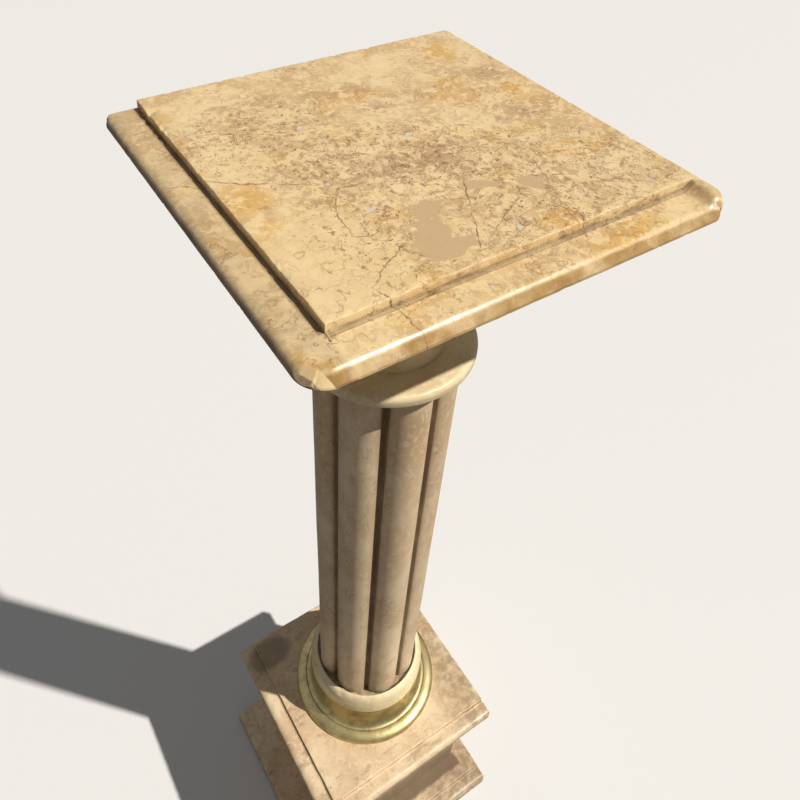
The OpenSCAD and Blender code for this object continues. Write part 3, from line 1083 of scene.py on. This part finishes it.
class PEDESTAL_OT_collar(bpy.types.Operator):
    """Builds the flared brass collar"""

    bl_idname = "pedestal.collar"
    bl_label = "Brass collar"

    def execute(self, context):
        turning = context.scene.pedestal_turning
        low, high = box_mm("brass_collar")
        foot_r, foot, top = high[0], low[2], high[2]
        rim_r = turning.collar_rim / MM
        band_w, band_h = turning.band_width / MM, turning.band_height / MM
        line_r = foot_r - band_w
        rim_h, edge, waist = 3.5, 2.5, rim_r - 1.5
        hollow = top - foot - rim_h - band_h
        outline = ([(0, foot), (foot_r - 4, foot), (foot_r - 0.5, foot), (foot_r, foot + 0.5)]
                   + arc(line_r, foot + edge, band_w, band_h - edge, 4, 88, 16)
                   + [(line_r - 0.3, foot + band_h - 0.7), (line_r - 1, foot + band_h - 0.7)]
                   + arc(line_r - 1, top - rim_h, line_r - 1 - waist, hollow, 270, 184, 24)
                   + [(waist, top - rim_h - 0.4), (rim_r - 0.6, top - rim_h - 0.2)]
                   + arc(rim_r - 1.4, top - rim_h / 2, 1.4, rim_h / 2, -70, 90, 8)
                   + [(0, top)])
        collar = turned("brass_collar_casting", outline, aged_brass(), 192, wear=0.05, seed=15)
        place_piece(collar, "brass_collar")
        return {"FINISHED"}


class PEDESTAL_OT_plinth(bpy.types.Operator):
    """Builds the plinth: its moulded slab, its block and the foot slab"""

    bl_idname = "pedestal.plinth"
    bl_label = "Plinth"

    def execute(self, context):
        slabs = context.scene.pedestal_slabs
        finish = context.scene.pedestal_finish
        marble = pale_marble("plinth_marble", 1.0, 0.7, 260, finish.pale, plinth_dirt_and_shade)
        step = slabs.plinth_step / MM
        wear = slabs.wear / MM
        for node, width, seed in (("plinth_slab", slabs.slab_mould / MM, 50),
                                  ("foot_slab", slabs.foot_mould / MM, 70)):
            low, high = box_mm(node)
            thick, span = high[2] - low[2], high[0] - low[0]
            chips = {side: scattered_chips(seed + k, count, span - 6, size)
                     for k, (side, count, size) in enumerate((
                         ("-x", 26, 2.2), ("-y", 10, 1.4), ("arris-x", 10, 1.2),
                         ("arris-y", 10, 1.2), ("+x", 22, 2.6), ("+y", 10, 1.8),
                         ("wall+x", 10, 1.6)))}
            under = 2.2
            edge = Edge(thick, width, step, under, nose=0.44 * width,
                        drop=0.6 * (thick - step - under), fillet=0.5)
            thing = slab(f"{node}_stone", node, marble, edge, edge, radii=(5, 4, 4, 4),
                         wear=wear * 1.4, chips=chips, coarse=2.6, ease=1.2)
            place_piece(thing, node)
        chips = {side: scattered_chips(90 + k, 8, 196, 2.0)
                 for k, side in enumerate(("-x", "-y", "wall+x", "wall+y"))}
        block = slab("plinth_block_stone", "plinth_block", marble, None, None, radii=(1.6,) * 4,
                     wear=wear, chips=chips, coarse=6, ease=0.8, wall_rings=24)
        place_piece(block, "plinth_block")
        return {"FINISHED"}


class PEDESTAL_OT_stage(bpy.types.Operator):
    """Adds the floor, the studio lights and the camera"""

    bl_idname = "pedestal.stage"
    bl_label = "Stage"

    CAMERA_PLACE = (-0.2344, -0.3241, 1.2928)
    # azimuth, elevation and roll in degrees
    CAMERA_TURN = (-34.209, 43.368, 2.618)
    CAMERA_LENS = 32.825
    CAMERA_SHIFT = (0.0350, -0.0913)
    SUN_FROM = (0.55, -0.585, 1.0)
    SUN_STRENGTH = 3.75
    SUN_ANGLE = math.radians(1.0)
    SUN_COLOUR = (1.0, 0.965, 0.91)
    SKY_COLOUR = (0.97, 0.98, 1.0)
    SKY_FILL, SKY_SEEN, SKY_SHINE = 0.155, 0.72, 0.28
    FLOOR_HALF_SIDE = 7.0

    def execute(self, context):
        self.floor(context.scene)
        self.lights(context.scene)
        self.camera(context.scene)
        context.scene.view_settings.view_transform = "Standard"
        return {"FINISHED"}

    def floor(self, scene):
        finish = scene.pedestal_finish
        material, graph = new_material("studio_floor")
        coordinates = graph.add("ShaderNodeTexCoord", out="Object")
        speckle = graph.noise(coordinates, 0.02, 3)
        seen = graph.add("ShaderNodeLightPath", out="Is Camera Ray")
        base = graph.mix(seen, finish.floor_bounce, finish.floor)
        finish_material(graph, base, 0.75, speckle, 0.00005)
        half = self.FLOOR_HALF_SIDE
        corners = [(-half, -half, 0), (half, -half, 0), (half, half, 0), (-half, half, 0)]
        mesh = bpy.data.meshes.new("studio_floor")
        mesh.from_pydata(corners, [], [(0, 1, 2, 3)])
        mesh.materials.append(material)
        floor = bpy.data.objects.new("studio_floor", mesh)
        scene.collection.objects.link(floor)

    def lights(self, scene):
        lamp = bpy.data.lights.new("key_light", "SUN")
        lamp.energy = self.SUN_STRENGTH
        lamp.angle = self.SUN_ANGLE
        lamp.color = self.SUN_COLOUR
        key = bpy.data.objects.new("key_light", lamp)
        key.rotation_euler = Vector(self.SUN_FROM).to_track_quat("Z", "Y").to_euler()
        scene.collection.objects.link(key)
        world = bpy.data.worlds.new("studio_light")
        world.use_nodes = True
        world.node_tree.nodes.clear()
        graph = Graph(world.node_tree)
        seen = graph.add("ShaderNodeLightPath", out="Is Camera Ray")
        shine = graph.add("ShaderNodeLightPath", out="Is Glossy Ray")
        strength = seen * self.SKY_SEEN + shine * self.SKY_SHINE + self.SKY_FILL
        sky = graph.add("ShaderNodeBackground", None,
                        {"Color": self.SKY_COLOUR, "Strength": strength})
        graph.add("ShaderNodeOutputWorld", None, {"Surface": sky})
        scene.world = world

    def camera(self, scene):
        azimuth, elevation, roll = (math.radians(a) for a in self.CAMERA_TURN)
        back = Vector((math.sin(azimuth) * math.cos(elevation),
                       -math.cos(azimuth) * math.cos(elevation), math.sin(elevation)))
        level = Vector((0, 0, 1)).cross(back).normalized()
        upright = back.cross(level)
        right = level * math.cos(roll) + upright * math.sin(roll)
        up = upright * math.cos(roll) - level * math.sin(roll)
        lens = bpy.data.cameras.new("camera")
        lens.lens = self.CAMERA_LENS
        lens.sensor_width = 36
        lens.shift_x, lens.shift_y = self.CAMERA_SHIFT
        lens.clip_start = 0.01
        camera = bpy.data.objects.new("camera", lens)
        turn = Matrix((right, up, back)).transposed().to_4x4()
        camera.matrix_world = Matrix.Translation(self.CAMERA_PLACE) @ turn
        scene.collection.objects.link(camera)
        scene.camera = camera


class PEDESTAL_PT_panel(bpy.types.Panel):
    """Lists the steps that build the column"""

    bl_idname = "PEDESTAL_PT_panel"
    bl_label = "Pedestal column"
    bl_space_type = "VIEW_3D"
    bl_region_type = "UI"
    bl_category = "Pedestal"

    def draw(self, context):
        for operator in OPERATORS:
            self.layout.operator(operator.bl_idname)


GROUPS = {"pedestal_slabs": PedestalSlabs, "pedestal_turning": PedestalTurning,
          "pedestal_finish": PedestalFinish}
OPERATORS = (PEDESTAL_OT_top_plate, PEDESTAL_OT_capital, PEDESTAL_OT_shaft, PEDESTAL_OT_base_ring,
             PEDESTAL_OT_collar, PEDESTAL_OT_plinth, PEDESTAL_OT_stage)
CLASSES = (*GROUPS.values(), *OPERATORS, PEDESTAL_PT_panel)


def register():
    for item in CLASSES:
        bpy.utils.register_class(item)
    for name, group in GROUPS.items():
        setattr(bpy.types.Scene, name, bpy.props.PointerProperty(type=group))


def unregister():
    for name in GROUPS:
        delattr(bpy.types.Scene, name)
    for item in reversed(CLASSES):
        bpy.utils.unregister_class(item)


def main():
    register()
    bpy.ops.pedestal.top_plate()
    bpy.ops.pedestal.capital()
    bpy.ops.pedestal.shaft()
    bpy.ops.pedestal.base_ring()
    bpy.ops.pedestal.collar()
    bpy.ops.pedestal.plinth()
    bpy.ops.pedestal.stage()


if __name__ == "__main__":
    main()
